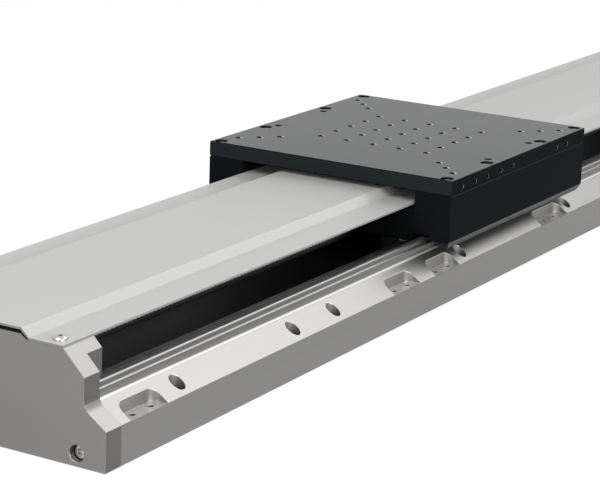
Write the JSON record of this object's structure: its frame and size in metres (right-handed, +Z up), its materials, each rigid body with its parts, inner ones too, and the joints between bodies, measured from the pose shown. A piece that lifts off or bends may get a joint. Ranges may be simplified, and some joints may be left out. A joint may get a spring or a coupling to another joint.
{
  "type": "ball screw linear module",
  "caption": "Covered linear module: a ball screw and rails in a flanged base drive a wide drilled table past a fixed cover.",
  "frame": {"origin": "base underside, at the middle of the body's length and width", "axes": "+X along the travel towards the drive end, +Y to the left of it, +Z up from the base to the table"},
  "size_m": [1.23, 0.225, 0.099],
  "materials": {
    "base_aluminium": "satin clear anodised, brighter on the milled flange",
    "plate_aluminium": "matt clear anodised",
    "cover_sheet": "satin warm grey coat",
    "black_aluminium": "satin black anodised",
    "rail_steel": "ground",
    "bearing_steel": "polished",
    "stainless": "polished stainless",
    "black_steel": "black oxide",
    "cap_plastic": "moulded",
    "seal_rubber": "moulded",
    "brass": "turned",
    "spider_plastic": "cast polyurethane",
    "wiper_plastic": "moulded"
  },
  "bodies": {
    "base": {"base_extrusion": "base_aluminium", "idle_end_plate": "plate_aluminium", "drive_end_plate": "plate_aluminium", "top_cover": "cover_sheet", "cover_screws": "stainless", "idle_plate_screws": "stainless", "drive_plate_screws": "stainless", "left_rail": "rail_steel", "right_rail": "rail_steel", "left_rail_screws": "stainless", "right_rail_screws": "stainless", "idle_bearing_block": "plate_aluminium", "idle_block_screws": "black_steel", "idle_bearing_outer": "bearing_steel", "idle_bearing_balls": "bearing_steel", "drive_bearing_housing": "plate_aluminium", "housing_screws": "black_steel", "drive_bearing_outers": "bearing_steel", "drive_bearing_balls": "bearing_steel", "bearing_retainer": "black_steel", "retainer_screws": "black_steel", "idle_bumpers": "seal_rubber", "drive_bumpers": "seal_rubber", "motor_adapter": "black_aluminium", "adapter_screws": "black_steel"},
    "carriage": {"table_top": "black_aluminium", "table_screws": "stainless", "slide_block": "black_aluminium", "nut_bracket": "plate_aluminium", "bracket_screws": "black_steel", "ball_nut": "rail_steel", "nut_wipers": "wiper_plastic", "nut_screws": "black_steel", "left_idle_block": "rail_steel", "left_drive_block": "rail_steel", "right_idle_block": "rail_steel", "right_drive_block": "rail_steel", "left_idle_block_caps": "cap_plastic", "left_drive_block_caps": "cap_plastic", "right_idle_block_caps": "cap_plastic", "right_drive_block_caps": "cap_plastic", "left_block_seals": "seal_rubber", "right_block_seals": "seal_rubber", "block_screws": "black_steel", "grease_nipples": "brass"},
    "screw": {"ball_screw": "rail_steel", "idle_bearing_inner": "bearing_steel", "idle_circlip": "black_steel", "drive_bearing_inners": "bearing_steel", "bearing_spacer": "rail_steel", "lock_nut": "black_steel", "screw_coupling_hub": "base_aluminium", "coupling_spider": "spider_plastic", "motor_coupling_hub": "base_aluminium", "hub_clamp_screws": "black_steel"}
  },
  "joints": [
    {"name": "screw_spin", "type": "hinge", "parent": "base", "child": "screw", "pos_m": [0, 0, 0.039], "axis": [1, 0, 0], "range_deg": [-28800, 28800]},
    {"name": "carriage_slide", "type": "slide", "parent": "base", "child": "carriage", "axis": [1, 0, 0], "range_m": [-0.4, 0.4]}
  ],
  "couplings": [
    {"joint": "screw_spin", "follows": "carriage_slide", "rad_per_m": -1256.6}
  ]
}
